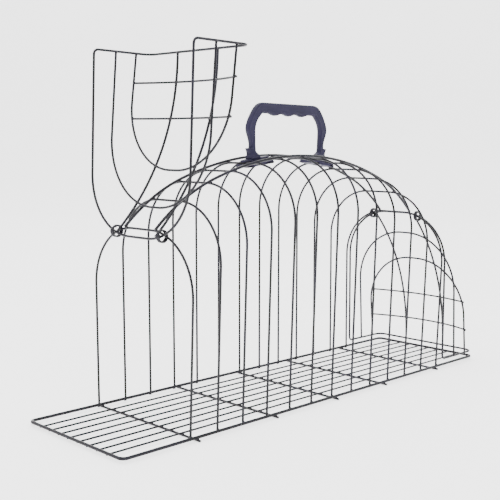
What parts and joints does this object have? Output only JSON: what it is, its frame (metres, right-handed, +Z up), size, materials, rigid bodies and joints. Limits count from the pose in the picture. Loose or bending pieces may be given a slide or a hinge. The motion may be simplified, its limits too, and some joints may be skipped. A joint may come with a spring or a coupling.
{
  "type": "live_catch_trap",
  "caption": "Domed double-door wire live trap: thirteen round-shouldered hoops on a rod floor, sloping cage doors hinged at both ends, moulded carry handle on top; front door folded back",
  "frame": {"origin": "centre of the floor's footprint, on the ground", "axes": "X along the cage, +X towards the rear door; Y across the cage; Z up"},
  "size_m": [0.5714, 0.156, 0.3667],
  "materials": {
    "wire_paint": "satin",
    "grip_plastic": "matte",
    "screw_steel": "satin"
  },
  "bodies": {
    "root": {"floor_frame": "wire_paint", "floor_rod_1": "wire_paint", "floor_rod_2": "wire_paint", "floor_rod_3": "wire_paint", "floor_rod_4": "wire_paint", "floor_rod_5": "wire_paint", "floor_rod_6": "wire_paint", "floor_rod_7": "wire_paint", "floor_rod_8": "wire_paint", "cross_rod_1": "wire_paint", "cross_rod_2": "wire_paint", "cross_rod_3": "wire_paint", "cross_rod_4": "wire_paint", "cross_rod_5": "wire_paint", "hoop_01": "wire_paint", "hoop_02": "wire_paint", "hoop_03": "wire_paint", "hoop_04": "wire_paint", "hoop_05": "wire_paint", "hoop_06": "wire_paint", "hoop_07": "wire_paint", "hoop_08": "wire_paint", "hoop_09": "wire_paint", "hoop_10": "wire_paint", "hoop_11": "wire_paint", "hoop_12": "wire_paint", "hoop_13": "wire_paint", "roof_wire_left": "wire_paint", "roof_wire_right": "wire_paint", "handle": "grip_plastic", "front_clamp_plate": "grip_plastic", "rear_clamp_plate": "grip_plastic", "handle_screws": "screw_steel", "front_hinge_rings": "wire_paint", "rear_hinge_rings": "wire_paint"},
    "front_door": {"front_door_frame": "wire_paint", "front_door_arch_a": "wire_paint", "front_door_arch_b": "wire_paint", "front_door_rib_left": "wire_paint", "front_door_rib_right": "wire_paint", "front_door_bar_upper": "wire_paint", "front_door_bar_lower": "wire_paint"},
    "rear_door": {"rear_door_frame": "wire_paint", "rear_door_arch_a": "wire_paint", "rear_door_arch_b": "wire_paint", "rear_door_rib_left": "wire_paint", "rear_door_rib_right": "wire_paint", "rear_door_bar_upper": "wire_paint", "rear_door_bar_lower": "wire_paint"}
  },
  "joints": [
    {"name": "front_door_hinge", "type": "hinge", "parent": "root", "child": "front_door", "pos_m": [-0.2092, 0, 0.1882], "axis": [0, 1, 0], "range_deg": [-180, 0]},
    {"name": "rear_door_hinge", "type": "hinge", "parent": "root", "child": "rear_door", "pos_m": [0.2092, 0, 0.1882], "axis": [0, 1, 0], "range_deg": [-180, 0]}
  ]
}
